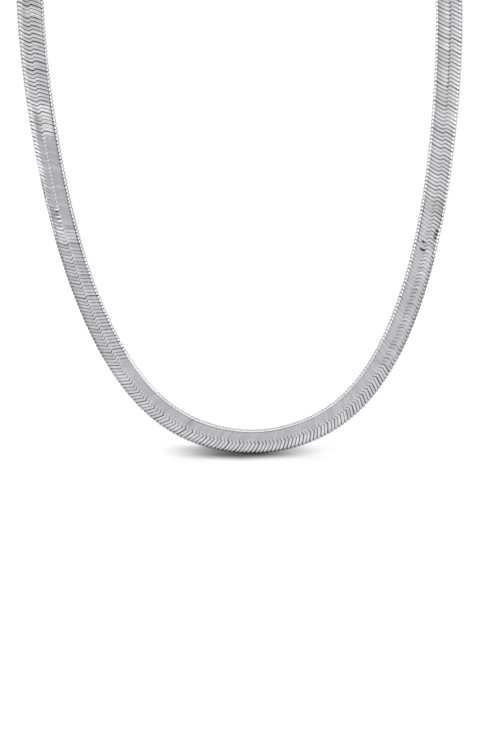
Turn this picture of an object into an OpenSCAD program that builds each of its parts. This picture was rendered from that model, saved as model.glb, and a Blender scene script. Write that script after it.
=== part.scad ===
// Flat herringbone neck chain, as it hangs: a closed loop of woven metal band whose two ends are
// gripped by flat caps and joined at the nape by two jump rings and a clasp.
// The origin is on the neck's axis, level with the back of the loop. +Z is up and the front faces -Y.

/* [Loop] */
// Length once round the loop, clasp included
loop_length = 508; // [440:2:760]

/* [Band] */
// Width of the woven band
band_w = 7; // [4:0.5:10]
// Thickness of the woven band
band_t = 1.5; // [1:0.1:2.5]
// Depth of the rounded edge where the links fold to the back
edge_round = 0.85; // [0.4:0.05:1.5]
// Length of each flat of the band along the loop
band_step = 4.8; // [3:0.2:8]

/* [End caps] */
// Length of a cap's body
cap_length = 6.5; // [5.5:0.5:12]
// Length of band that a cap grips
cap_grip = 3; // [2:0.25:4]
// Wall of a cap around the band
cap_wall = 0.45; // [0.3:0.05:1]
// Clearance between a cap's pocket and the band
cap_fit = 0.2; // [0.15:0.05:0.4]
// Corner radius of a cap seen from the front
cap_corner = 1.1; // [0.4:0.1:1.6]

/* [Eyes and rings] */
// Hole radius of every eye
eye_hole_r = 1; // [0.9:0.05:1.4]
// Metal around an eye's hole
eye_wall = 0.65; // [0.5:0.05:0.9]
// Metal between an eye's hole and the piece that carries it
eye_neck = 0.4; // [0.2:0.05:1.2]
// Thickness of an eye
eye_t = 0.9; // [0.6:0.1:1.4]
// Wire radius of a jump ring
ring_wire_r = 0.4; // [0.25:0.05:0.45]
// Radius of a jump ring to the middle of its wire
ring_r = 2.3; // [2.2:0.05:3]
// Gap between a jump ring and the metal that it pulls on
pull_gap = 0.12; // [0.08:0.02:0.25]
// Angle that a jump ring may lean, in degrees, against a piece that it pulls on
ring_lean = 13; // [8:1:14]

/* [Clasp] */
// Length of the clasp's body without its eye
clasp_length = 10.5; // [9:0.5:16]
// Width of the clasp's body at its hook
clasp_w = 5.8; // [5.2:0.1:8]
// Width of the clasp's body at its tail
clasp_tail_w = 3.6; // [3:0.1:5]
// Thickness of the clasp
clasp_t = 1.8; // [1.2:0.1:2.2]
// Metal around the clasp's opening
clasp_rim = 1.1; // [0.8:0.05:1.4]
// Length of solid metal at the clasp's tail
clasp_heel = 2.6; // [2:0.1:4]
// Radius of the thumb stud on the clasp's side
stud_r = 0.8; // [0.5:0.1:1.2]

/* [Hidden] */
silver = [0.8, 0.8, 0.82];
$fn = 48;

// The right half of the loop, from the bottom of the front to the middle of the back.
// Columns, as shares of half the loop's breadth: to the side, backwards, up;
// then where the band's face looks: to the side, backwards, up.
route = [
    [0.00, 0.00, -0.03,   0.00, -1.00, 0.00],
    [0.34, 0.00,  0.06,   0.06, -1.00, 0.00],
    [0.56, 0.00,  0.25,   0.14, -1.00, 0.00],
    [0.72, 0.00,  0.52,   0.22, -1.00, 0.00],
    [0.84, 0.00,  0.86,   0.26, -1.00, 0.00],
    [0.92, 0.00,  1.22,   0.22, -1.00, 0.00],
    [0.97, 0.00,  1.60,   0.12, -1.00, 0.00],
    [1.00, 0.00,  2.00,   0.00, -1.00, 0.05],
    [1.00, 0.03,  2.38,   0.00, -1.00, 0.15],
    [0.98, 0.26,  2.66,   0.15, -0.80, 0.60],
    [0.88, 0.58,  2.80,   0.40, -0.20, 0.85],
    [0.67, 0.90,  2.87,   0.50,  0.35, 0.80],
    [0.35, 1.08,  2.90,   0.30,  0.65, 0.75],
    [0.00, 1.12,  2.91,   0.00,  0.75, 0.70],
];
last_row = len(route) - 1;
loop_rows = 2 * last_row;
mirror_signs = [-1, 1, 1, -1, 1, 1];

// A row of the whole loop: the right half as listed, then its mirror image back to the start
function signed(row) = [for (i = [0:len(row) - 1]) row[i] * mirror_signs[i]];
function wrapped(i) = ((i % loop_rows) + loop_rows) % loop_rows;
function loop_row(i) = let(k = wrapped(i)) k <= last_row ? route[k] : signed(route[loop_rows - k]);

// The smooth curve that the rows guide, and its direction, at u rows along the loop
function curve(u) =
    let(i = floor(u), t = u - i, v = 1 - t)
    (pow(v, 3) * loop_row(i - 1)
    + (3 * pow(t, 3) - 6 * pow(t, 2) + 4) * loop_row(i)
    + (3 * pow(v, 3) - 6 * pow(v, 2) + 4) * loop_row(i + 1)
    + pow(t, 3) * loop_row(i + 2)) / 6;
function curve_slope(u) =
    let(i = floor(u), t = u - i, v = 1 - t)
    (-pow(v, 2) * loop_row(i - 1)
    + (3 * pow(t, 2) - 4 * t) * loop_row(i)
    + (4 * v - 3 * pow(v, 2)) * loop_row(i + 1)
    + pow(t, 2) * loop_row(i + 2)) / 2;
function place_of(row) = [row[0], row[1], row[2]];
function facing_of(row) = [row[3], row[4], row[5]];

// Distance along the loop at each sample, in shares, and from it the loop's real breadth
samples_per_row = 8;
samples = [for (k = [0:loop_rows * samples_per_row]) place_of(curve(k / samples_per_row))];
distances = [
    for (k = 0, d = 0; k < len(samples); k = k + 1, d = k < len(samples)
        ? d + norm(samples[k] - samples[k - 1]) : d) d
];
half_breadth = loop_length / distances[len(distances) - 1];
row_by_distance = [
    for (k = [0:len(distances) - 1]) [distances[k] * half_breadth, k / samples_per_row]
];

// The origin lies inside the back of the loop by half the loop's breadth, at the same height
back_row = curve(last_row);
origin = [0, back_row[1] - 1, back_row[2]] * half_breadth;

// A frame at distance s along the loop, from the bottom of the front, + to the right:
// its place, then unit vectors along the loop, towards the inner edge and out of the face
function unit(v) = v / norm(v);
function square_to(v, along) = unit(v - (v * along) * along);
function frame_at(s) =
    let(u = lookup(s < 0 ? s + loop_length : s, row_by_distance),
        here = curve(u),
        along = unit(place_of(curve_slope(u))),
        face = square_to(facing_of(here), along))
    [place_of(here) * half_breadth - origin, along, cross(face, along), face];

// Moves its children to a frame, with their X along the loop, Y to the inner edge, Z out of the face
module in_frame(f) {
    multmatrix([
        [f[1].x, f[2].x, f[3].x, f[0].x],
        [f[1].y, f[2].y, f[3].y, f[0].y],
        [f[1].z, f[2].z, f[3].z, f[0].z],
        [0, 0, 0, 1],
    ]) children();
}
function to_loop(f, p) = f[0] + p.x * f[1] + p.y * f[2] + p.z * f[3];

// Distance from the middle of a jump ring's wire to metal of thickness t that the ring pulls on,
// so that the metal's corners clear the ring's inner circle when the ring leans
function seat(t) =
    let(inner_r = ring_r - ring_wire_r - pull_gap, corner = t / 2 + ring_r * sin(ring_lean))
    ring_r * cos(ring_lean) - sqrt(pow(inner_r, 2) - pow(corner, 2));

// Places along the fastening: in the clasp from its middle, in a cap from the band's end
eye_r = eye_hole_r + eye_wall;
clasp_half = clasp_length / 2;
clasp_eye_x = clasp_half + eye_neck + eye_hole_r;
clasp_eye_wire_x = clasp_eye_x + eye_hole_r - seat(eye_t);
clasp_hook_wire_x = clasp_half - clasp_rim - seat(clasp_t);
cap_end_x = cap_length - cap_grip;
cap_eye_x = cap_end_x + eye_neck + eye_hole_r;
cap_wire_x = cap_eye_x + eye_hole_r - seat(eye_t);

// Distance of each end of the band from the bottom of the front, and the frames along the band
half_loop = loop_length / 2;
left_end = half_loop - clasp_eye_wire_x - 2 * ring_r - cap_wire_x;
right_end = half_loop - clasp_hook_wire_x - 2 * ring_r - cap_wire_x;
band_length = left_end + right_end;
stations = ceil(band_length / band_step);
function band_frame(j) = frame_at(-left_end + band_length * j / stations);

// A cap lies in line with the last flat of the band, and the clasp between its two wires' places
function aimed(place, along, facing) =
    let(face = square_to(facing, along)) [place, along, cross(face, along), face];
function beyond(last, before) = aimed(last[0], unit(last[0] - before[0]), last[3]);
left_cap = beyond(band_frame(0), band_frame(1));
right_cap = beyond(band_frame(stations), band_frame(stations - 1));
hook_place = frame_at(half_loop - clasp_hook_wire_x)[0];
eye_place = frame_at(half_loop + clasp_eye_wire_x)[0];
clasp_along = unit(eye_place - hook_place);
clasp_frame = aimed(
    hook_place + clasp_hook_wire_x * clasp_along, clasp_along, frame_at(half_loop)[3]
);

// The band's section: flat faces between two edges rounded as half ellipses
edge_steps = 5;
flat_half = band_w / 2 - edge_round;
section = [
    for (side = [1, -1]) for (k = [0:edge_steps])
        let(a = 90 - 180 * k / edge_steps)
        side * [flat_half + edge_round * cos(a), band_t / 2 * sin(a)]
];
section_n = len(section);

module herringbone_band() {
    points = [
        for (j = [0:stations]) let(f = band_frame(j))
            for (p = section) to_loop(f, [0, p.x, p.y])
    ];
    sides = [
        for (j = [0:stations - 1]) for (k = [0:section_n - 1])
            let(a = j * section_n + k,
                b = j * section_n + (k + 1) % section_n)
            each [[a, b, b + section_n], [a, b + section_n, a + section_n]]
    ];
    near_end = [for (k = [0:section_n - 1]) section_n - 1 - k];
    far_end = [for (k = [0:section_n - 1]) stations * section_n + k];
    color(silver) polyhedron(points, concat(sides, [near_end, far_end]));
}

// A flat plate with round ends of two radii, joined by their tangents
module tapered_plate(x1, r1, x2, r2, t) {
    lean = acos((r1 - r2) / (x2 - x1));
    rise = [cos(lean), sin(lean)];
    fall = [cos(lean), -sin(lean)];
    translate([x1, 0, 0]) cylinder(h = t, r = r1, center = true);
    translate([x2, 0, 0]) cylinder(h = t, r = r2, center = true);
    linear_extrude(height = t, center = true)
        polygon([
            [x1, 0] + r1 * fall,
            [x2, 0] + r2 * fall,
            [x2, 0] + r2 * rise,
            [x1, 0] + r1 * rise,
        ]);
}

// A flat cap: a square mouth over the band's end, round shoulders and an eye. X points to the eye.
module end_cap() {
    cap_w = band_w + 2 * (cap_fit + cap_wall);
    cap_t = band_t + 2 * (cap_fit + cap_wall);
    pocket_w = band_w + 2 * cap_fit;
    pocket_t = band_t + 2 * cap_fit;
    shoulder_x = cap_end_x - cap_corner;
    shoulder_y = cap_w / 2 - cap_corner;
    difference() {
        union() {
            translate([-cap_grip, -cap_w / 2, -cap_t / 2])
                cube([cap_length - cap_corner, cap_w, cap_t]);
            translate([-cap_grip, -shoulder_y, -cap_t / 2])
                cube([cap_length, 2 * shoulder_y, cap_t]);
            for (side = [1, -1])
                translate([shoulder_x, side * shoulder_y, 0])
                    cylinder(h = cap_t, r = cap_corner, center = true);
            tapered_plate(shoulder_x, eye_r, cap_eye_x, eye_r, eye_t);
        }
        translate([-cap_grip - 1, -pocket_w / 2, -pocket_t / 2])
            cube([cap_grip + 1 + cap_fit, pocket_w, pocket_t]);
        translate([cap_eye_x, 0, 0])
            cylinder(h = cap_t, r = eye_hole_r, center = true);
    }
}
module end_cap_left() {
    color(silver) in_frame(left_cap) end_cap();
}
module end_cap_right() {
    color(silver) in_frame(right_cap) end_cap();
}

// A closed ring that stands across the two eyes, its wire through a and b, square to their faces
module jump_ring(a, b, face) {
    color(silver) in_frame(aimed((a + b) / 2, unit(b - a), face))
        rotate([90, 0, 0]) rotate_extrude()
            translate([ring_r, 0]) circle(r = ring_wire_r);
}
module jump_ring_left() {
    jump_ring(
        to_loop(clasp_frame, [clasp_eye_wire_x, 0, 0]),
        to_loop(left_cap, [cap_wire_x, 0, 0]),
        clasp_frame[3] + left_cap[3]
    );
}
module jump_ring_right() {
    jump_ring(
        to_loop(clasp_frame, [-clasp_hook_wire_x, 0, 0]),
        to_loop(right_cap, [cap_wire_x, 0, 0]),
        clasp_frame[3] + right_cap[3]
    );
}

// The clasp: a tapered hook with an opening, a thumb stud and an eye. X points to the eye.
module clasp() {
    hook_r = clasp_w / 2;
    tail_r = clasp_tail_w / 2;
    open_hook_r = hook_r - clasp_rim;
    open_tail_x = clasp_half - clasp_heel;
    open_tail_r = tail_r - clasp_rim / 2;
    color(silver) in_frame(clasp_frame) difference() {
        union() {
            tapered_plate(-clasp_half + hook_r, hook_r, clasp_half - tail_r, tail_r, clasp_t);
            tapered_plate(clasp_half - eye_r, eye_r, clasp_eye_x, eye_r, eye_t);
            translate([0, -hook_r + clasp_rim / 2, 0])
                cylinder(h = clasp_t, r = stud_r, center = true);
        }
        tapered_plate(
            -clasp_half + hook_r, open_hook_r,
            open_tail_x - open_tail_r, open_tail_r,
            clasp_t + 1
        );
        translate([clasp_eye_x, 0, 0])
            cylinder(h = clasp_t + 1, r = eye_hole_r, center = true);
    }
}

herringbone_band();
end_cap_left();
end_cap_right();
jump_ring_left();
jump_ring_right();
clasp();
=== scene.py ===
import math
import random

import bpy
from mathutils import Matrix, Vector


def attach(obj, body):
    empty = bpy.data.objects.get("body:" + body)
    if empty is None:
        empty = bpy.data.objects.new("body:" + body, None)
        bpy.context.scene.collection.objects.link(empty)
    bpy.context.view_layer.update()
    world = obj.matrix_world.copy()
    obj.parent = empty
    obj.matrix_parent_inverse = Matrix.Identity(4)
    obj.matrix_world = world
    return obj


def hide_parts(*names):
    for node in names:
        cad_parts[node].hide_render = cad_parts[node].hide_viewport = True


# A flat herringbone neck chain in polished silver, as it hangs: the woven band's links, the two
# end caps, the jump rings and the clasp. Lengths are in metres, in the frame of the CAD model.
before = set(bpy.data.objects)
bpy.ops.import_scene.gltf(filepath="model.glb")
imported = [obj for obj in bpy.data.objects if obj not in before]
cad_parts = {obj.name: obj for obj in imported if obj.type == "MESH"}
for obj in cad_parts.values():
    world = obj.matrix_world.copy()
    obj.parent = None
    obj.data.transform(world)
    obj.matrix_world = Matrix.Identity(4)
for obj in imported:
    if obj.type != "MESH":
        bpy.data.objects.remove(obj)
bpy.context.view_layer.update()

MM = 0.001

LOOP_LENGTH = 508 * MM

# The right half of the loop, from the bottom of the front to the middle of the back.
# Columns, as shares of half the loop's breadth: to the side, backwards, up;
# then where the band's face looks: to the side, backwards, up.
ROUTE = [
    [0.00, 0.00, -0.03, 0.00, -1.00, 0.00],
    [0.34, 0.00, 0.06, 0.06, -1.00, 0.00],
    [0.56, 0.00, 0.25, 0.14, -1.00, 0.00],
    [0.72, 0.00, 0.52, 0.22, -1.00, 0.00],
    [0.84, 0.00, 0.86, 0.26, -1.00, 0.00],
    [0.92, 0.00, 1.22, 0.22, -1.00, 0.00],
    [0.97, 0.00, 1.60, 0.12, -1.00, 0.00],
    [1.00, 0.00, 2.00, 0.00, -1.00, 0.05],
    [1.00, 0.03, 2.38, 0.00, -1.00, 0.15],
    [0.98, 0.26, 2.66, 0.15, -0.80, 0.60],
    [0.88, 0.58, 2.80, 0.40, -0.20, 0.85],
    [0.67, 0.90, 2.87, 0.50, 0.35, 0.80],
    [0.35, 1.08, 2.90, 0.30, 0.65, 0.75],
    [0.00, 1.12, 2.91, 0.00, 0.75, 0.70],
]
LAST_ROW = len(ROUTE) - 1
LOOP_ROWS = 2 * LAST_ROW
MIRROR_SIGNS = [-1, 1, 1, -1, 1, 1]
SAMPLES_PER_ROW = 8

# Distance of each end of the woven band from the bottom of the front, along the loop
LEFT_END = 237.2 * MM
RIGHT_END = 241.2 * MM

# One row of the weave: a slat across the face, folded over both edges. X runs along the band,
# Y from the outer edge to the inner edge, Z out of the face.
ROW_PITCH = 1.04 * MM
ROW_HALF_WIDTH = 3.65 * MM
ROW_HALF_THICKNESS = 0.70 * MM
FOLD_Y = ROW_HALF_WIDTH - ROW_HALF_THICKNESS

# The slat's domed section, in mm: along the band, and out from the face
SECTION = [(-0.54, -0.34), (-0.40, -0.08), (0.0, 0.0), (0.40, -0.04), (0.54, -0.34)]
RIB_EDGE = SECTION[-1][0] * MM
GROOVE_HEIGHT = ROW_HALF_THICKNESS + SECTION[0][1] * MM

# Where the slat bends on the face and on the back, in mm across the band; steps round each fold
FRONT_STATIONS = [-2.7, -2.45, -1.8, -1.1, -0.50, 0.10, 1.0, 1.9, 2.75]
BACK_STATIONS = [0.10, -0.50]
FOLD_STEPS = 4
MERGE_DISTANCE = 0.001 * MM
TOUCHING = 0.01 * MM

# The seam between the outer and the inner slats, and the wave of the slats: how far each part
# runs along the band, over how much of the width, and how much it bends
SEAM_OUTER = -0.50 * MM
SEAM_INNER = 0.10 * MM
SEAM_RUN = -0.44 * MM
OUTER_RUN = -1.69 * MM
OUTER_REACH = 3.1 * MM
OUTER_BEND = 1.35
INNER_RUN = 1.56 * MM
INNER_REACH = 3.2 * MM
INNER_BEND = 1.3

# The folds show as beads, by edge (-1 outer, 1 inner): where they start, as a share of the half
# width; their breadth as a share of the slat's; how far they slant along the band
BEAD_STARTS = {-1: -0.73, 1: 0.79}
BEAD_NARROWING = {-1: 0.78, 1: 0.74}
BEAD_SLIP = {-1: 0.4, 1: 0.15}

# How far the slat behind slips along the band at its edges; how far the beads' shoulders drop,
# in mm, and from how far off the bead's middle
EDGE_SLIP = 0.2 * MM
EDGE_DROP = 0.10
SHOULDER = 0.1 * MM

# How unevenly the rows lie: along the band, and in tilt. Strengths of the shade painted in the lines
# between them
ROW_SLIP = 0.05 * MM
ROW_TILT = 0.04
LINE_STRENGTHS = (0.3, 1.1)
CHANCE_SEED = 5

# Pieces that the rows are joined into, and the angle up to which their faces are shaded smooth
PIECES = 4
LINKS_SMOOTHING = math.radians(50)

# How the slats lie along the band. Columns: place (mm from the bottom of the front); how far the
# inner slats lean back (mm along for each mm across); bend of the outer slats, 1 for straight.
LEANS = [
    [-260, -0.05, 1.35],
    [-125, -0.08, 1.30],
    [-115, -0.10, 1.10],
    [-85, -0.18, 1.15],
    [-60, -0.24, 1.05],
    [-35, -0.20, 1.05],
    [0, 0.00, 1.08],
    [90, 0.00, 1.12],
    [260, 0.00, 1.20],
]

# Painted sheen and reflection on the front, lighter or darker in patches along and across the band.
# Columns: from, to (mm from the bottom of the front); from, to (across, -1 outer edge to 1 inner
# edge); brightness of the painted sheen; strength of the lines between slats, in their painted
# shade and how deep their grooves are kept; how much the brightness changes from slat to slat.
SHEEN_PATCHES = [
    [-260, 260, -1.10, 1.10, 1.00, 0.85, 0.07],
    [-260, 260, -0.80, -0.60, 1.00, 1.25, 0.00],
    [-260, 260, 0.60, 0.80, 1.00, 1.25, 0.00],
    [-165, -121, -1.10, 0.10, 1.17, 1.35, 0.00],
    [-165, -121, -0.80, -0.64, 1.12, 1.20, 0.10],
    [-165, -121, 0.10, 1.10, 1.17, 1.20, 0.00],
    [-133, -121, 0.10, 0.80, 0.88, 1.00, 0.00],
    [-121, -113, -0.10, 0.55, 1.40, 1.10, 0.20],
    [-119, -113, -0.50, -0.20, 0.85, 0.80, 0.15],
    [-113, -88, -0.05, 0.80, 0.76, 0.04, 0.02],
    [-112, -94, -0.48, -0.05, 0.76, 0.04, 0.02],
    [-121, -101, -0.90, -0.58, 1.60, 2.20, 0.15],
    [-101, -94, -0.90, -0.70, 1.10, 0.40, 0.20],
    [-94, -87, -0.75, -0.20, 0.86, 0.70, 0.20],
    [-88, -86.5, 0.10, 0.80, 0.85, 0.80, 0.20],
    [-86, -84.7, -0.80, 0.80, 1.10, 0.25, 0.05],
    [-84, -75, -0.80, 0.05, 0.95, 1.10, 0.12],
    [-84, -74, 0.20, 0.80, 0.88, 0.60, 0.10],
    [-75, -48, -0.80, -0.05, 0.90, 1.00, 0.00],
    [-75, -48, -0.05, 0.80, 0.94, 1.00, 0.00],
    [-48, 25, -0.80, -0.35, 1.10, 1.50, 0.00],
    [-25, 25, -0.60, -0.30, 1.05, 1.00, 0.00],
    [-47, -20, 0.10, 0.80, 0.80, 0.05, 0.00],
    [-20, 43, 0.10, 0.80, 0.82, 0.05, 0.00],
    [25, 43, -0.80, -0.30, 0.96, 1.40, 0.00],
    [43, 78, -0.80, -0.55, 0.86, 1.10, 0.00],
    [43, 66, -0.55, 0.05, 0.88, 0.32, 0.00],
    [66, 78, -0.55, 0.05, 0.93, 0.50, 0.10],
    [43, 78, -0.15, 0.03, 1.02, 3.40, 0.10],
    [43, 78, 0.05, 0.80, 0.84, 0.35, 0.00],
    [78, 91, -0.68, -0.50, 0.88, 1.00, 0.05],
    [78, 91, -0.50, 0.05, 0.94, 1.00, 0.05],
    [78, 91, 0.05, 0.60, 0.92, 0.60, 0.05],
    [88, 107, 0.05, 0.70, 1.06, 0.85, 0.00],
    [112, 160, -0.80, -0.40, 1.24, 1.00, 0.00],
    [112, 160, -0.40, 0.50, 1.03, 0.80, 0.00],
    [122, 150, 0.02, 0.30, 1.20, 1.00, 0.12],
]
PATCH_SOFTNESS = 0.9
PATCH_SOFTNESS_ACROSS = 0.10

# The plain polish of the band's back and of the stretch behind the neck: how much the brightness
# changes from slat to slat, in slow ripples of one length, and between the halves of the weave;
# and how far from the bottom of the front that stretch starts
FLICKER = 0.13
RIPPLE = 0.09
RIPPLE_LENGTH = 3.9 * MM
HALVES = 0.10
NECK_START = 165 * MM

# Where the front's painted sheen and shade end round a fold, from 1 on the face to 0 behind
FRONT_END = 0.5

# How the beads along the edges look, in painted highlight and painted shade. Columns: edge (-1
# outer, 1 inner); from, to (mm); brightness of the painted highlight; darkness of the shade painted
# in the gaps between beads, on their outline, in the crease beside them.
RIMS = [
    [-1, -260, -165, 1.10, 1.20, 0.60, 0.40],
    [-1, -165, -121, 1.75, 1.70, 0.80, 0.10],
    [-1, -121, -101, 1.90, 2.20, 0.70, 0.00],
    [-1, -101, -95, 1.40, 0.60, 0.70, 0.10],
    [-1, -95, -84, 1.60, 1.10, 0.90, 0.60],
    [-1, -84, -79, 1.00, 0.90, 1.10, 0.40],
    [-1, -79, -48, 0.75, 0.80, 0.80, 0.00],
    [-1, -48, 48, 0.95, 1.20, 0.40, 0.00],
    [-1, 48, 77, 0.70, 0.80, 0.80, 0.00],
    [-1, 77, 80, 1.70, 1.30, 0.80, 0.60],
    [-1, 80, 84, 1.70, 1.20, 0.80, 0.10],
    [-1, 84, 91, 1.70, 1.30, 0.80, 0.95],
    [-1, 91, 105, 1.70, 1.60, 0.70, 0.50],
    [-1, 105, 160, 1.70, 1.70, 0.70, 0.10],
    [-1, 160, 260, 1.10, 1.20, 0.60, 0.40],
    [1, -260, -165, 1.10, 1.10, 0.60, 0.40],
    [1, -165, -137, 1.25, 1.10, 1.00, 0.35],
    [1, -137, -126, 1.50, 1.10, 1.00, 0.55],
    [1, -126, -88, 1.80, 1.10, 1.00, 0.90],
    [1, -88, -79, 1.90, 1.30, 0.90, 1.10],
    [1, -79, -48, 1.95, 1.30, 0.70, 0.80],
    [1, -48, -33, 1.95, 0.20, 0.70, 0.60],
    [1, -33, 10, 1.50, 0.25, 0.80, 0.60],
    [1, 10, 48, 1.55, 0.45, 0.80, 0.50],
    [1, 48, 78, 1.95, 1.00, 0.80, 0.50],
    [1, 78, 90, 2.05, 1.00, 0.80, 0.95],
    [1, 90, 125, 2.00, 1.05, 0.80, 0.60],
    [1, 125, 160, 1.85, 1.05, 0.80, 0.75],
    [1, 160, 260, 1.10, 1.10, 0.60, 0.40],
]
RIM_SOFTNESS = 1.0

# Stretches whose seam shows a row of painted bright dots, painted glints: from, to (mm), brightness
GLINTING_SEAMS = [[-113, -94, 1.40], [43, 80, 0.40]]
DOTTED_SOFTNESS = 1.0

# Slats with painted light or dark: a painted dark gap beside them or a painted glint. Columns:
# from, to (mm); middle, reach (across); darkness of the shade painted in the gap beside the slat;
# brightness of the painted glint along its middle.
MARKS = [
    [-100.8, -95.6, -0.86, 0.13, 2.2, 0.0],
    [-93.5, -92.5, -0.20, 0.26, 1.0, 2.0],
    [-92.5, -91.5, -0.30, 0.24, 0.7, 0.0],
    [-91.5, -90.5, -0.20, 0.30, 0.9, 2.0],
    [-90.5, -89.4, -0.18, 0.24, 0.6, 2.0],
    [-89.4, -88.4, -0.30, 0.20, 0.5, 0.0],
    [-88.4, -87.4, -0.28, 0.44, 0.4, 1.3],
    [-87.4, -86.4, -0.40, 0.35, 0.0, 0.5],
    [76.9, 77.9, 0.22, 0.36, 2.0, 0.0],
    [78.2, 79.2, 0.30, 0.22, 1.4, 0.0],
    [80.2, 81.2, -0.52, 0.15, 0.6, 0.0],
    [81.2, 82.2, -0.53, 0.16, 2.4, 0.0],
    [82.2, 83.2, -0.54, 0.16, 2.4, 0.0],
    [83.2, 84.2, -0.58, 0.17, 2.4, 0.0],
    [116, 121, -0.04, 0.07, 0.6, 0.0],
    [121, 150, -0.04, 0.08, 1.2, 0.0],
]
NO_MARK = [0.0, 0.1, 0.0, 0.0]

# The stretch where the silver has a fuller violet cast: from, to (mm); the cast of the silver
# outside it and in it
VIOLET_STRETCH = (-113.7, 83.7)
VIOLET_SOFTNESS = 3.0
CASTS = (0.016, 0.043)


def loop_row(index):
    """A row of the whole loop: the right half as listed, then its mirror image back to the start."""
    index %= LOOP_ROWS
    if index <= LAST_ROW:
        return ROUTE[index]
    return [sign * value for sign, value in zip(MIRROR_SIGNS, ROUTE[LOOP_ROWS - index])]


def blended(index, weights):
    """The sum of four rows from the one before index, each times its weight."""
    rows = [loop_row(index + k) for k in (-1, 0, 1, 2)]
    return [sum(w * row[i] for w, row in zip(weights, rows)) for i in range(6)]


def curve(u):
    """Place and facing on the smooth curve that the rows guide, at u rows along the loop.

    It is a cubic B-spline: each place blends the four rows about it.
    """
    index = math.floor(u)
    t = u - index
    v = 1 - t
    weights = (v**3, 3 * t**3 - 6 * t**2 + 4, 3 * v**3 - 6 * v**2 + 4, t**3)
    return blended(index, [w / 6 for w in weights])


def curve_slope(u):
    """The direction of that curve at u rows along the loop, from the slopes of its weights."""
    index = math.floor(u)
    t = u - index
    v = 1 - t
    weights = (-(v**2), 3 * t**2 - 4 * t, 4 * v - 3 * v**2, t**2)
    return blended(index, [w / 2 for w in weights])


def distances_along():
    """Distance along the loop at each sample, in shares of half its breadth."""
    count = LOOP_ROWS * SAMPLES_PER_ROW
    places = [Vector(curve(k / SAMPLES_PER_ROW)[:3]) for k in range(count + 1)]
    found = [0.0]
    for before, after in zip(places, places[1:]):
        found.append(found[-1] + (after - before).length)
    return found


DISTANCES = distances_along()
HALF_BREADTH = LOOP_LENGTH / DISTANCES[-1]
BACK = curve(LAST_ROW)
ORIGIN = Vector((0, BACK[1] - 1, BACK[2])) * HALF_BREADTH


def row_at(distance):
    """Rows along the loop at a distance from the bottom of the front."""
    share = (distance % LOOP_LENGTH) / HALF_BREADTH
    low, high = 0, len(DISTANCES) - 1
    while high - low > 1:
        middle = (low + high) // 2
        if DISTANCES[middle] > share:
            high = middle
        else:
            low = middle
    part = (share - DISTANCES[low]) / (DISTANCES[high] - DISTANCES[low])
    return (low + part) / SAMPLES_PER_ROW


def frame_at(distance):
    """The band's frame there: X along the loop, Y to the inner edge, Z out of the face."""
    u = row_at(distance)
    here = curve(u)
    place = Vector(here[:3]) * HALF_BREADTH - ORIGIN
    along = Vector(curve_slope(u)[:3]).normalized()
    facing = Vector(here[3:])
    face = (facing - facing.dot(along) * along).normalized()
    inner = face.cross(along)
    turned = Matrix((along, inner, face)).transposed().to_4x4()
    return Matrix.Translation(place) @ turned


def deselect():
    """Back to object mode with nothing selected."""
    if bpy.context.object and bpy.context.object.mode != "OBJECT":
        bpy.ops.object.mode_set(mode="OBJECT")
    bpy.ops.object.select_all(action="DESELECT")


def wave(y, bend=OUTER_BEND):
    """How far a row's slat is shifted along the band at y across it."""
    if y < SEAM_OUTER:
        return OUTER_RUN * ((SEAM_OUTER - y) / OUTER_REACH) ** bend
    if y < SEAM_INNER:
        return SEAM_RUN * (y - SEAM_OUTER) / (SEAM_INNER - SEAM_OUTER)
    return SEAM_RUN + INNER_RUN * ((y - SEAM_INNER) / INNER_REACH) ** INNER_BEND


def extrude_across(start, stations):
    """Extrudes the selected face across the band, through each station in turn."""
    y = start
    for station in stations:
        bpy.ops.mesh.extrude_region_move(TRANSFORM_OT_translate={"value": (0, station - y, 0)})
        y = station


def woven_row():
    """One straight row: a slat across the face, folded over both edges and back behind."""
    deselect()
    bpy.ops.mesh.primitive_circle_add(vertices=len(SECTION), radius=MM, fill_type="NGON")
    row = bpy.context.object
    row.name = "woven_row"
    for vertex, (along, out) in zip(row.data.vertices, SECTION):
        vertex.co = (along * MM, -FOLD_Y, ROW_HALF_THICKNESS + out * MM)
    bpy.ops.object.mode_set(mode="EDIT")
    bpy.ops.mesh.select_all(action="SELECT")
    fold = {"steps": FOLD_STEPS, "angle": math.pi, "axis": (1, 0, 0)}
    extrude_across(-FOLD_Y, [station * MM for station in FRONT_STATIONS] + [FOLD_Y])
    bpy.ops.mesh.spin(center=(0, FOLD_Y, 0), **fold)
    extrude_across(FOLD_Y, [station * MM for station in BACK_STATIONS] + [-FOLD_Y])
    bpy.ops.mesh.spin(center=(0, -FOLD_Y, 0), **fold)
    bpy.ops.mesh.select_all(action="SELECT")
    bpy.ops.mesh.remove_doubles(threshold=MERGE_DISTANCE)
    bpy.ops.mesh.select_mode(type="FACE")
    bpy.ops.mesh.select_all(action="DESELECT")
    bpy.ops.mesh.select_face_by_sides(number=len(SECTION))
    bpy.ops.mesh.delete(type="ONLY_FACE")
    bpy.ops.mesh.select_all(action="SELECT")
    bpy.ops.mesh.normals_make_consistent(inside=False)
    bpy.ops.object.mode_set(mode="OBJECT")
    return row


def store(mesh, name, values):
    """Keeps one number for each vertex of a mesh under a name, for its material."""
    kept = mesh.attributes.new(name, "FLOAT", "POINT")
    kept.data.foreach_set("value", values)


def stored(mesh, name):
    """The numbers kept under a name."""
    return [item.value for item in mesh.attributes[name].data]


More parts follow.
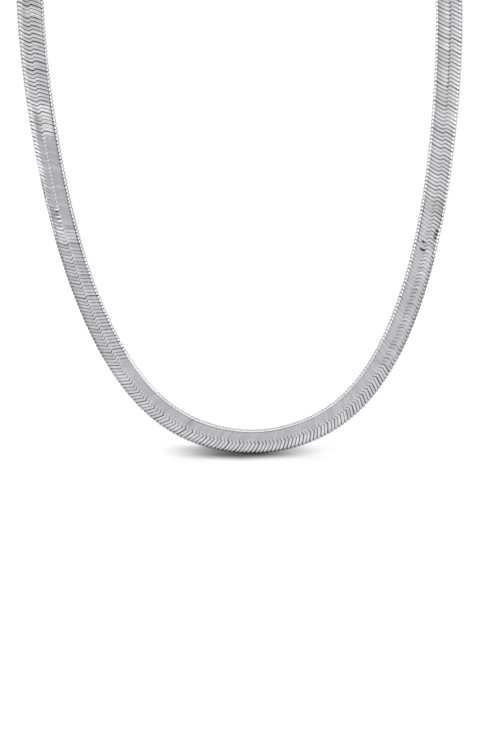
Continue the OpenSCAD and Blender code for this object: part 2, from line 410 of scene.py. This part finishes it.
def shape_row(row):
    """Shifts the straight row's slats into the weave's wave and rounds its folds into beads."""
    mesh = row.data
    looks = {name: [] for name in ("recess", "across", "front", "rib")}
    for vertex in mesh.vertices:
        x, y, z = vertex.co
        side = math.copysign(1, y)
        over = max(abs(y) - FOLD_Y, 0)
        turn = math.atan2(over, z)
        low = math.hypot(over, z) < GROOVE_HEIGHT + TOUCHING
        nominal_y = side * (FOLD_Y + ROW_HALF_THICKNESS * math.sin(turn)) if over else y
        behind = (1 - math.cos(turn)) / 2
        looks["recess"].append(1.0 if low else 0.0)
        looks["across"].append(nominal_y / ROW_HALF_WIDTH)
        looks["front"].append(1 - behind)
        looks["rib"].append(x / RIB_EDGE)
        shift = EDGE_SLIP * behind * nominal_y / ROW_HALF_WIDTH
        if over:
            shift += wave(side * FOLD_Y) + BEAD_SLIP[side] * (nominal_y - side * FOLD_Y)
        else:
            shift += wave(y)
        if over and abs(x) > SHOULDER:
            z -= EDGE_DROP * MM * math.sin(turn) * math.cos(turn)
            y -= side * EDGE_DROP * MM * math.sin(turn) ** 2
        if nominal_y * side > abs(BEAD_STARTS[side]) * ROW_HALF_WIDTH and not low:
            x *= BEAD_NARROWING[side]
        vertex.co = (x + shift, y, z)
    for name, values in looks.items():
        store(mesh, name, values)
    mesh.update()
    return row


def inside(value, low, high, softness):
    """1 between low and high, falling to 0 outside them over the softness."""
    outside = max(low - value, value - high, 0)
    return max(0.0, 1 - outside / softness)


def lean_at(distance):
    """The inner slats' lean and the outer slats' bend at a place along the band."""
    place = distance / MM
    for (start, *before), (end, *after) in zip(LEANS, LEANS[1:]):
        if place < end:
            share = (place - start) / (end - start)
            return [low + (high - low) * share for low, high in zip(before, after)]
    return LEANS[-1][1:]


def painted_sheen_and_lines(distance, across, chance):
    """Brightness of the painted sheen and strength of the lines at a place on the front of the band.
    """
    brightness, lines = 1.0, 1.0
    for start, end, low, high, bright, strong, flicker in SHEEN_PATCHES:
        share = inside(distance / MM, start, end, PATCH_SOFTNESS)
        share *= inside(across, low, high, PATCH_SOFTNESS_ACROSS)
        brightness *= 1 + share * (bright * (1 + flicker * chance) - 1)
        lines *= 1 + share * (strong - 1)
    return brightness, lines


def rim(distance, across):
    """Painted highlight of the beads on the nearer edge, and the shade painted in their gaps,
    outline and crease.
    """
    total, found = 0.0, [0.0, 0.0, 0.0, 0.0]
    for side, start, end, *looks in RIMS:
        if side * across > 0:
            share = inside(distance / MM, start, end, RIM_SOFTNESS)
            total += share
            found = [value + share * look for value, look in zip(found, looks)]
    return [value / total for value in found]


def marks_at(distance):
    """What the list says of a slat there: the middle and reach of its painted mark, the darkness of
    its painted dark gap and the brightness of its painted glint.
    """
    for start, end, *looks in MARKS:
        if start <= distance / MM < end:
            return looks
    return NO_MARK


def front_looks(centre, x, across, chance, plain):
    """Tone with its painted sheen or bead highlight, line, painted seam dot, painted outline shade
    and painted crease shade at a place on the front of the row about the centre.
    """
    bead, gap, outline, crease = rim(centre, across)
    tone, line = painted_sheen_and_lines(centre + x, across, chance)
    if abs(centre) > NECK_START:
        tone *= plain
    # Painted highlight on the beads, and painted shade in the gaps between them.
    if abs(across) > abs(BEAD_STARTS[math.copysign(1, across)]):
        tone, line = bead, gap
    place = centre / MM
    dot = max(bright * inside(place, start, end, DOTTED_SOFTNESS) for start, end, bright in GLINTING_SEAMS)
    return tone, line, dot, outline, crease


def laid_row(model, distance, chances):
    """A copy of the row's mesh at its place along the band, with its own tone, painted sheen and
    painted shade.
    """
    mesh = model.data.copy()
    looks = {name: [] for name in ("tone", "lines", "dots", "outline", "crease")}
    chance = chances.uniform(-1, 1)
    strength = chances.uniform(*LINE_STRENGTHS)
    centre = distance + ROW_SLIP * chances.uniform(-1, 1)
    tilt = ROW_TILT * chances.uniform(-1, 1)
    lean, bend = lean_at(distance)
    ripple = 1 + FLICKER * chance + RIPPLE * math.sin(2 * math.pi * centre / RIPPLE_LENGTH)
    places = zip(mesh.vertices, stored(mesh, "across"), stored(mesh, "front"))
    for vertex, across, facing in places:
        x, y, z = vertex.co
        x += lean * max(y - SEAM_OUTER, 0)
        x += wave(max(y, -FOLD_Y), bend) - wave(max(y, -FOLD_Y))
        plain = ripple - math.copysign(HALVES, across * ROW_HALF_WIDTH - SEAM_OUTER / 2)
        tone, line, dot, outline, crease = plain, 1.0, 0.0, 0.0, 0.0
        if facing > FRONT_END:
            tone, line, dot, outline, crease = front_looks(centre, x, across, chance, plain)
        if facing == 1:
            z += (ROW_HALF_THICKNESS - z) * (1 - min(line, 1)) + tilt * (x - wave(y))
        for found, value in zip(looks.values(), (tone, line * strength, dot, outline, crease)):
            found.append(value)
        vertex.co = frame_at(centre + x) @ Vector((0, y, z))
    for name, values in looks.items():
        store(mesh, name, values)
    whole = dict(zip(("mark_middle", "mark_reach", "kink", "glint"), marks_at(distance)))
    whole["violet"] = inside(distance / MM, *VIOLET_STRETCH, VIOLET_SOFTNESS)
    for name, value in whole.items():
        store(mesh, name, [value] * len(mesh.vertices))
    return mesh


def weave_links(model):
    """Copies of the row all along the band, joined into a few pieces."""
    length = LEFT_END + RIGHT_END
    count = int(length / ROW_PITCH)
    pitch = length / count
    chances = random.Random(CHANCE_SEED)
    made = []
    for part in range(PIECES):
        rows = []
        for index in range(part * count // PIECES, (part + 1) * count // PIECES):
            mesh = laid_row(model, -LEFT_END + (index + 0.5) * pitch, chances)
            copy = bpy.data.objects.new(f"row_{index}", mesh)
            bpy.context.scene.collection.objects.link(copy)
            rows.append(copy)
        deselect()
        for copy in rows:
            copy.select_set(True)
        bpy.context.view_layer.objects.active = rows[0]
        bpy.ops.object.join()
        piece = bpy.context.object
        piece.name = f"woven_links_{part + 1}"
        bpy.ops.object.shade_smooth_by_angle(angle=LINKS_SMOOTHING)
        made.append(piece)
    bpy.data.objects.remove(model)
    return made


# The fittings, by the node that each replaces: its name, and how far its edges are rounded
FITTINGS = {
    "end_cap_left": ["polished_cap_left", 0.14 * MM],
    "end_cap_right": ["polished_cap_right", 0.14 * MM],
    "jump_ring_left": ["polished_ring_left", 0],
    "jump_ring_right": ["polished_ring_right", 0],
    "clasp": ["polished_clasp", 0.14 * MM],
}
FITTING_MERGE_DISTANCE = 0.002 * MM
FLAT_ANGLE = math.radians(0.5)
EDGE_ANGLE = math.radians(40)
EDGE_STEPS = 3
FITTINGS_SMOOTHING = math.radians(35)


def polished_copy(node, name, edge):
    """A copy of a fitting with its edges rounded, as polishing leaves them."""
    deselect()
    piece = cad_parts[node].copy()
    piece.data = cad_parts[node].data.copy()
    piece.parent = None
    for key in list(piece.keys()):
        del piece[key]
    piece.name = name
    bpy.context.scene.collection.objects.link(piece)
    piece.select_set(True)
    bpy.context.view_layer.objects.active = piece
    bpy.ops.object.mode_set(mode="EDIT")
    bpy.ops.mesh.select_all(action="SELECT")
    bpy.ops.mesh.remove_doubles(threshold=FITTING_MERGE_DISTANCE)
    bpy.ops.mesh.dissolve_limited(angle_limit=FLAT_ANGLE)
    bpy.ops.object.mode_set(mode="OBJECT")
    if edge:
        bevel = piece.modifiers.new("rounded_edges", "BEVEL")
        bevel.width = edge
        bevel.segments = EDGE_STEPS
        bevel.limit_method = "ANGLE"
        bevel.angle_limit = EDGE_ANGLE
        bpy.ops.object.modifier_apply(modifier=bevel.name)
    bpy.ops.object.shade_smooth_by_angle(angle=FITTINGS_SMOOTHING)
    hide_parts(node)
    return piece


class Value:
    """A number or colour among a tree's nodes, so that shader maths reads as an expression."""

    def __init__(self, nodes, socket):
        self.nodes = nodes
        self.socket = socket

    def maths(self, operation, *values):
        return self.nodes.node("ShaderNodeMath", {"operation": operation}, dict(enumerate(values)))

    def __add__(self, other):
        return self.maths("ADD", self, other)

    def __radd__(self, other):
        return self.maths("ADD", other, self)

    def __sub__(self, other):
        return self.maths("SUBTRACT", self, other)

    def __rsub__(self, other):
        return self.maths("SUBTRACT", other, self)

    def __mul__(self, other):
        return self.maths("MULTIPLY", self, other)

    def __rmul__(self, other):
        return self.maths("MULTIPLY", other, self)

    def size(self):
        return self.maths("ABSOLUTE", self)

    def least(self, other):
        return self.maths("MINIMUM", self, other)

    def between(self, low, high):
        """0 at low, 1 at high, with a smooth rise between them."""
        settings = {"interpolation_type": "SMOOTHSTEP"}
        values = {"Value": self, "From Min": low, "From Max": high}
        return self.nodes.node("ShaderNodeMapRange", settings, values, "Result")

    def near(self, middle, reach):
        """1 at middle, fading smoothly to 0 at reach from it."""
        return (self - middle).size().between(reach, 0.0)

    def spread(self, low, high):
        """low at 0, high at 1."""
        return low + (high - low) * self


def set_stops(ramp, stops):
    """Gives a colour ramp its greys, each at its place."""
    while len(ramp.elements) < len(stops):
        ramp.elements.new(1.0)
    for element, (place, level) in zip(ramp.elements, stops):
        element.position = place
        element.color = (level, level, level, 1)


class Nodes:
    """A node tree under construction."""

    def __init__(self, tree):
        self.tree = tree

    def node(self, kind, settings=None, values=None, output=0):
        """Adds a node: its settings first, then its sockets' values or links."""
        added = self.tree.nodes.new(kind)
        for key, value in (settings or {}).items():
            if key == "stops":
                set_stops(added.color_ramp, value)
            else:
                setattr(added, key, value)
        for key, value in (values or {}).items():
            if isinstance(value, Value):
                self.tree.links.new(value.socket, added.inputs[key])
            else:
                added.inputs[key].default_value = value
        return Value(self, added.outputs[output])


class Finish(Nodes):
    """A material under construction."""

    def __init__(self, name):
        self.material = bpy.data.materials.new(name)
        self.material.use_nodes = True
        super().__init__(self.material.node_tree)
        self.shader = self.tree.nodes["Principled BSDF"]

    def attribute(self, name):
        return self.node("ShaderNodeAttribute", {"attribute_name": name}, output="Fac")

    def noise(self, place, scale, detail):
        values = {"Vector": place, "Scale": scale, "Detail": detail}
        return self.node("ShaderNodeTexNoise", values=values, output="Fac")

    def blend(self, share, first, second):
        """A colour from first at share 0 to second at share 1."""
        return self.node("ShaderNodeMix", {"data_type": "RGBA"}, {0: share, 6: first, 7: second}, 2)

    def set(self, **values):
        """Sets the shader's own sockets, by name with _ for a space."""
        for key, value in values.items():
            socket = self.shader.inputs[key.replace("_", " ")]
            if isinstance(value, Value):
                self.tree.links.new(value.socket, socket)
            else:
                socket.default_value = value


def grey(level, tint=0.0):
    """A grey colour, towards violet by the tint."""
    return (level, level * (1 - tint / 3), level * (1 + tint), 1)


# Levels of the polish's fine grain and broad smears, from least to most, and the silver's cast
GRAIN_LEVELS = (0.9, 1.1)
SMEAR_LEVELS = (0.6, 1.4)
CAST = 0.03

# The links: level of the bare silver, roughness from least to most, scales of grain and smears
LINKS_LEVEL = 0.56
LINKS_BRIGHTEST = 0.95
LINKS_ROUGHNESS = (0.16, 0.28)
LINKS_GRAIN_SCALE = 900
LINKS_SMEAR_SCALE = 260

# The shade painted in the groove between slats, over the recess from 0 on top of a slat to 1 at its
# bottom: where it starts and where it is dark, for the faintest line and for a line of strength 1;
# and the painted shade's level
GROOVE_SHADE_START = (0.14, 0.08)
GROOVE_SHADE_DARK = (0.65, 0.50)
GROOVE_SHADE_LEVEL = 0.04

# The shade painted as the beads' dark outline, over the fold from 1 on the face to 0 behind: where
# it starts and is full, where it ends again, its depth, and how much sooner it starts on the outer
# edge
OUTLINE_START = (0.96, 0.90)
OUTLINE_END = (0.10, 0.24)
OUTLINE_DEPTH = 0.7
EDGE_LEAN = 0.065

# The shade painted in the creases beside the beads: across the band, reach, depth. Neither it nor
# the painted outline takes more than the most that is given last
OUTER_CREASE = (-0.70, 0.07)
INNER_CREASE = (0.79, 0.08)
CREASE_DEPTH = 0.8
DARKEST = 0.9

# The seam's painted bright dots: middle and reach, across the band and across the slat
DOT_ACROSS = (-0.06, 0.09)
DOT_ALONG = (0.0, 0.55)

# The painted marks: where round the fold they fade, the side of the slat with the painted dark gap,
# its darkest
MARK_FADE = (0.4, 0.6)
PAINTED_DARK_SIDE = (-0.3, 0.4)
PAINTED_DARKEST = 0.92


def silver_links():
    """Polished silver links, with shade painted dark into the grooves between the slats, the folds'
    creases and the beads' outlines, and painted sheen, highlights and glints.
    """
    finish = Finish("silver_links")
    recess = finish.attribute("recess")
    across = finish.attribute("across")
    front = finish.attribute("front")
    rib = finish.attribute("rib")
    lines = finish.attribute("lines")
    # Painted shade: the grooves between slats are darkened in the colour, by the line strength.
    groove_shade = recess.between(lines.spread(*GROOVE_SHADE_START), lines.spread(*GROOVE_SHADE_DARK))
    groove_shade = (groove_shade * lines).least(1.0)
    place = finish.node("ShaderNodeTexCoord", output="Object")
    grain = finish.noise(place, LINKS_GRAIN_SCALE, 2)
    smear = finish.noise(place, LINKS_SMEAR_SCALE, 2)
    # Painted shade on the beads' outline and in the creases beside them.
    turned = front + EDGE_LEAN * across
    outline = turned.between(*OUTLINE_START) * turned.between(*OUTLINE_END)
    outline = (OUTLINE_DEPTH * (outline * finish.attribute("outline"))).least(DARKEST)
    crease = across.near(*OUTER_CREASE) + across.near(*INNER_CREASE)
    crease = (CREASE_DEPTH * (crease * finish.attribute("crease"))).least(DARKEST)
    # Painted bright dots, painted glints, along the seam.
    dot = across.near(*DOT_ACROSS) * rib.near(*DOT_ALONG) * finish.attribute("dots")
    # Painted glints and painted dark gaps on the listed slats.
    there = across.near(finish.attribute("mark_middle"), finish.attribute("mark_reach"))
    there = there * front.between(*MARK_FADE)
    glint = finish.attribute("glint") * rib.near(0.0, 1.0) * there
    kink = (finish.attribute("kink") * rib.between(*PAINTED_DARK_SIDE) * there).least(PAINTED_DARKEST)
    # The tone carries the painted sheen of the patches and the beads' painted highlights, with the
    # slats' own tone.
    level = LINKS_LEVEL * finish.attribute("tone") * grain.spread(*GRAIN_LEVELS)
    level = level * (1 - outline) * (1 - crease) * (1 + dot) * (1 + glint) * (1 - kink)
    outside, within = [grey(1.0, cast) for cast in CASTS]
    silver = finish.blend(finish.attribute("violet"), outside, within)
    colour = finish.blend(level.least(LINKS_BRIGHTEST), grey(0.0), silver)
    finish.set(Base_Color=finish.blend(groove_shade, colour, grey(GROOVE_SHADE_LEVEL, CAST)))
    finish.set(Metallic=1.0, Roughness=smear.spread(*LINKS_ROUGHNESS))
    return finish.material


# The fittings: level, roughness, scales; the reach of the shade painted into their corners, over
# what openness it fades, and their levels from the closest corner to the open
FITTINGS_LEVEL = 0.36
FITTINGS_ROUGHNESS = (0.07, 0.19)
FITTINGS_GRAIN_SCALE = 700
FITTINGS_SMEAR_SCALE = 160
CORNER_REACH = 1.2 * MM
CORNER_OPENNESS = (0.2, 0.9)
CORNER_LEVELS = (0.3, 1.0)


def silver_fittings():
    """Polished silver of the caps, rings and clasp, with shade painted into its corners and where
    pieces meet.
    """
    finish = Finish("silver_fittings")
    place = finish.node("ShaderNodeTexCoord", output="Object")
    grain = finish.noise(place, FITTINGS_GRAIN_SCALE, 3)
    smear = finish.noise(place, FITTINGS_SMEAR_SCALE, 2)
    reach = {"Distance": CORNER_REACH}
    # Painted shade: the fittings' colour darkens in their corners and where pieces meet.
    corner_shade = finish.node("ShaderNodeAmbientOcclusion", values=reach, output="AO")
    level = FITTINGS_LEVEL * smear.spread(*SMEAR_LEVELS) * grain.spread(*GRAIN_LEVELS)
    level = level * corner_shade.between(*CORNER_OPENNESS).spread(*CORNER_LEVELS)
    finish.set(Base_Color=finish.blend(level, grey(0.0), grey(1.0, CAST)))
    finish.set(Metallic=1.0, Roughness=grain.spread(*FITTINGS_ROUGHNESS))
    return finish.material


# The camera looks down on the hanging front, from a little over half a metre
ELEVATION = math.radians(17)
ROLL = math.radians(-2.46)
DISTANCE = 0.59518
AIM = Vector((-4.034, -5.87, -138.445)) * MM
LENS = 105.65
SENSOR_WIDTH = 36
CLIP_START = 0.01


def make_camera():
    """The camera that sees the chain as it was photographed."""
    camera = bpy.data.objects.new("camera", bpy.data.cameras.new("camera"))
    bpy.context.scene.collection.objects.link(camera)
    back = Vector((0, -math.cos(ELEVATION), math.sin(ELEVATION)))
    camera.data.lens = LENS
    camera.data.sensor_width = SENSOR_WIDTH
    camera.data.clip_start = CLIP_START
    camera.rotation_mode = "QUATERNION"
    look = (-back).to_track_quat("-Z", "Y")
    roll = Matrix.Rotation(ROLL, 3, "Z").to_quaternion()
    camera.location = AIM + DISTANCE * back
    camera.rotation_quaternion = look @ roll
    bpy.context.scene.camera = camera


FLOOR_TILT = math.radians(2.3)
FLOOR_SIZE = 12
FLOOR_GAP = 0.05 * MM
FLOOR_LEVEL = 0.95
FLOOR_ROUGHNESS = 0.9

# The floor's soft pool of shade, a shadow painted into its colour, measured from the chain's lowest
# point: its middle (to the side, backwards); how far from there it has faded and how far from there
# it starts to fade, to the sides and to the front and back; how much sooner it does the latter
# towards its sides; and how dark it is
POOL_MIDDLE = (4.1 * MM, 2.7 * MM)
POOL_SIDES = (24.6 * MM, 2.2 * MM)
POOL_DEPTHS = (9.3 * MM, 3.8 * MM)
POOL_TAPER = 0.12
POOL_DARKNESS = 0.82


def make_floor(pieces):
    """A plain white floor just under the chain, level in the picture, with a pool of shade painted
    into its colour.
    """
    normal = Vector((math.sin(FLOOR_TILT), 0, math.cos(FLOOR_TILT)))
    corners = [vertex.co for piece in pieces for vertex in piece.data.vertices]
    under = min(corners, key=normal.dot)
    deselect()
    height = under.dot(normal) - FLOOR_GAP
    bpy.ops.mesh.primitive_plane_add(size=FLOOR_SIZE, location=normal * height)
    floor = bpy.context.object
    floor.name = "floor"
    floor.rotation_euler = (0, FLOOR_TILT, 0)
    finish = Finish("white_floor")
    place = finish.node("ShaderNodeTexCoord", output="Object")
    side = finish.node("ShaderNodeSeparateXYZ", values={"Vector": place}, output="X")
    depth = finish.node("ShaderNodeSeparateXYZ", values={"Vector": place}, output="Y")
    # A painted shadow: the pool of shade darkens the floor's colour under the chain.
    off_side = (side - (under[0] + POOL_MIDDLE[0])).size()
    off_depth = (depth - (under[1] + POOL_MIDDLE[1])).size() + POOL_TAPER * off_side
    shade = POOL_DARKNESS * (off_side.between(*POOL_SIDES) * off_depth.between(*POOL_DEPTHS))
    finish.set(Base_Color=finish.blend(shade, grey(FLOOR_LEVEL), grey(0.0)))
    finish.set(Roughness=FLOOR_ROUGHNESS, Specular_IOR_Level=0.0)
    floor.data.materials.append(finish.material)


# The soft strips of light to the left and the right: places, aim, sides, brightness
STRIPS = {"left_strip": (-0.5, -0.1, 0.05), "right_strip": (0.5, -0.1, 0.05)}
STRIP_AIM = (0, 0, -0.08)
STRIP_WIDTH = 0.3
STRIP_HEIGHT = 0.5
STRIP_RADIANCE = 1.2


def softbox(name, place, aim, width, height, radiance):
    """A rectangle of even light at a place, turned to its aim."""
    data = bpy.data.lights.new(name, "AREA")
    data.shape = "RECTANGLE"
    data.size = width
    data.size_y = height
    data.energy = radiance * math.pi * width * height
    light = bpy.data.objects.new(name, data)
    bpy.context.scene.collection.objects.link(light)
    light.location = place
    light.rotation_mode = "QUATERNION"
    light.rotation_quaternion = (Vector(aim) - Vector(place)).to_track_quat("-Z", "Y")
    light.visible_camera = False


# The white tent round the chain: its level by height, from the horizon at 0 to the zenith at 1
TENT_LEVELS = [(0.10, 0.74), (0.35, 0.37), (0.60, 0.67), (0.80, 1.0)]
TENT_STRENGTH = 1.35


def make_lights():
    """The white tent and the two soft strips of light."""
    world = bpy.data.worlds.new("white_tent")
    world.use_nodes = True
    tent = Nodes(world.node_tree)
    place = tent.node("ShaderNodeTexCoord", output="Generated")
    height = tent.node("ShaderNodeSeparateXYZ", values={"Vector": place}, output="Z")
    level = tent.node("ShaderNodeValToRGB", {"stops": TENT_LEVELS}, {"Fac": height}, "Color")
    background = tent.tree.nodes["Background"]
    tent.tree.links.new(level.socket, background.inputs["Color"])
    background.inputs["Strength"].default_value = TENT_STRENGTH
    bpy.context.scene.world = world
    for name, place in STRIPS.items():
        softbox(name, place, STRIP_AIM, STRIP_WIDTH, STRIP_HEIGHT, STRIP_RADIANCE)
    bpy.context.scene.view_settings.view_transform = "Standard"


links = weave_links(shape_row(woven_row()))
link_finish = silver_links()
fitting_finish = silver_fittings()
for piece in links:
    piece.data.materials.append(link_finish)
    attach(piece, "root")
    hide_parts("herringbone_band")
fittings = [polished_copy(node, name, edge) for node, (name, edge) in FITTINGS.items()]
for piece in fittings:
    piece.data.materials.clear()
    piece.data.materials.append(fitting_finish)
    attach(piece, "root")

make_camera()
make_floor(links + fittings)
make_lights()
